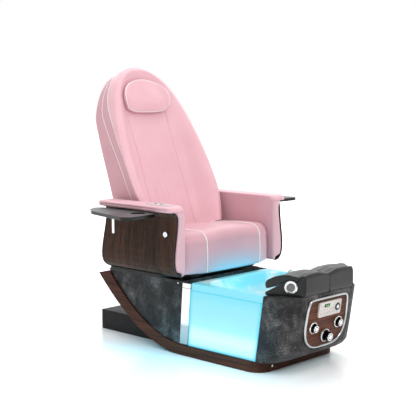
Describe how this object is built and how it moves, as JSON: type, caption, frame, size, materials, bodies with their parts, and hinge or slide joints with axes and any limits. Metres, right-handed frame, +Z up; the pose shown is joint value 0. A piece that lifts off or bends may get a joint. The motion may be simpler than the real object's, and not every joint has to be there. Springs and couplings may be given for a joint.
{
  "type": "pedicure spa chair",
  "caption": "Upholstered reclining spa chair that slides over a walnut sled base with a lit foot tub, tilting foot pads, water taps and swing-out trays.",
  "frame": {"origin": "on the floor, below the middle of the whole length and width", "axes": "+Z up, +Y towards the back of the chair, +X to the sitter's left; the sitter faces -Y"},
  "size_m": [1.3386, 1.4862, 1.4891],
  "materials": {
    "pink_leather": "soft grained upholstery leather with white piping",
    "black_leather": "padded black upholstery leather",
    "walnut": "dark straight-grained veneer, satin",
    "stone_resin": "moulded resin with a dark speckled stone look",
    "black_plastic": "matt black",
    "grey_plastic": "dark grey, smooth",
    "white_plastic": "white, smooth",
    "cream_plastic": "cream, satin",
    "silver": "satin",
    "chrome": "polished",
    "steel": "brushed",
    "brass": "machined",
    "lit_acrylic": "translucent cyan, lit from behind",
    "light_strip": "lamp rail that glows cyan"
  },
  "bodies": {
    "base": {"footrest_base": "black_leather", "sled_frame": "walnut", "panel_plate": "walnut", "rear_shell": "stone_resin", "front_shell": "stone_resin", "rear_foot": "black_plastic", "jet_housing": "black_plastic", "slide_motor": "black_plastic", "keypad": "cream_plastic", "frame_screw": "chrome", "trim_band_left": "chrome", "trim_band_right": "chrome", "drain_fitting": "chrome", "jet_cover": "chrome", "panel_frame": "chrome", "pivot_cap_left": "chrome", "pivot_cap_right": "chrome", "footrest_shaft": "steel", "seat_rails": "steel", "water_pump": "steel", "valve_manifold": "brass", "tub_bowl": "lit_acrylic", "tub_panel_left": "lit_acrylic", "tub_panel_right": "lit_acrylic", "light_strip": "light_strip"},
    "carriage": {"seat_plate": "black_plastic", "seat_runners": "black_plastic", "seat_cushion": "pink_leather", "arm_pad_left": "pink_leather", "arm_pad_right": "pink_leather", "arm_panel_left": "walnut", "arm_panel_right": "walnut", "bolt_cap_left": "chrome", "bolt_cap_right": "chrome", "tray_bracket_left": "steel", "tray_bracket_right": "steel", "arm_control": "silver", "hinge_bracket": "steel", "recline_motor": "black_plastic"},
    "backrest": {"back_shell": "pink_leather", "back_core": "pink_leather", "back_cushion": "pink_leather", "headrest": "pink_leather", "hinge_yoke": "steel", "recline_shaft": "steel"},
    "tray_unit_left": {"tray_left": "grey_plastic", "tray_post_left": "chrome"},
    "tray_unit_right": {"tray_right": "grey_plastic", "tray_post_right": "chrome"},
    "slide_switch": {"slide_key": "grey_plastic"},
    "recline_switch": {"recline_key": "grey_plastic"},
    "foot_pad_left": {"footrest_pad_left": "black_leather"},
    "foot_pad_right": {"footrest_pad_right": "black_leather"},
    "spout_pipe": {"spout": "chrome"},
    "hot_tap": {"hot_knob": "chrome"},
    "cold_tap": {"cold_knob": "chrome"},
    "diverter": {"diverter_knob": "chrome"},
    "panel_button": {"keypad_button": "black_plastic"},
    "stopper": {"drain_stopper": "chrome"},
    "impeller": {"jet_impeller": "white_plastic"}
  },
  "joints": [
    {"name": "seat_slide", "type": "slide", "parent": "base", "child": "carriage", "axis": [0, 1, 0], "range_m": [-0.08, 0.1]},
    {"name": "back_recline", "type": "hinge", "parent": "carriage", "child": "backrest", "pos_m": [0, 0.3317, 0.456], "axis": [-1, 0, 0], "range_deg": [0, 30]},
    {"name": "tray_left_swing", "type": "hinge", "parent": "carriage", "child": "tray_unit_left", "pos_m": [0.465, 0.3197, 0.7], "axis": [0, 0, 1], "range_deg": [-5, 20]},
    {"name": "tray_right_swing", "type": "hinge", "parent": "carriage", "child": "tray_unit_right", "pos_m": [-0.465, 0.3197, 0.7], "axis": [0, 0, -1], "range_deg": [-5, 20]},
    {"name": "slide_key_press", "type": "slide", "parent": "carriage", "child": "slide_switch", "axis": [0, 0, -1], "range_m": [0, 0.0015], "stiffness_N_per_m": 400, "springref_m": -0.001},
    {"name": "recline_key_press", "type": "slide", "parent": "carriage", "child": "recline_switch", "axis": [0, 0, -1], "range_m": [0, 0.0015], "stiffness_N_per_m": 400, "springref_m": -0.001},
    {"name": "foot_pad_left_tilt", "type": "hinge", "parent": "base", "child": "foot_pad_left", "pos_m": [0, -0.6683, 0.43], "axis": [-1, 0, 0], "range_deg": [0, 4.5]},
    {"name": "foot_pad_right_tilt", "type": "hinge", "parent": "base", "child": "foot_pad_right", "pos_m": [0, -0.6683, 0.43], "axis": [-1, 0, 0], "range_deg": [0, 4.5]},
    {"name": "spout_swivel", "type": "hinge", "parent": "base", "child": "spout_pipe", "pos_m": [0, -0.5213, 0.4], "axis": [0, 0, 1], "range_deg": [-60, 60]},
    {"name": "hot_tap_turn", "type": "hinge", "parent": "base", "child": "hot_tap", "pos_m": [-0.099, -0.70785, 0.2193], "axis": [0, -0.9883, -0.1522], "range_deg": [0, 90]},
    {"name": "cold_tap_turn", "type": "hinge", "parent": "base", "child": "cold_tap", "pos_m": [0.099, -0.70785, 0.2193], "axis": [0, -0.9883, -0.1522], "range_deg": [0, 90]},
    {"name": "diverter_turn", "type": "hinge", "parent": "base", "child": "diverter", "pos_m": [0, -0.69994, 0.1679], "axis": [0, -0.9883, -0.1522], "range_deg": [-90, 90]},
    {"name": "panel_button_press", "type": "slide", "parent": "base", "child": "panel_button", "axis": [0, 0.9883, 0.1522], "range_m": [0, 0.0015], "stiffness_N_per_m": 400, "springref_m": -0.001},
    {"name": "stopper_lift", "type": "slide", "parent": "base", "child": "stopper", "axis": [0, 0, 1], "range_m": [0, 0.008]},
    {"name": "impeller_spin", "type": "hinge", "parent": "base", "child": "impeller", "pos_m": [0, -0.1133, 0.235], "axis": [0, 1, 0], "continuous": true}
  ]
}
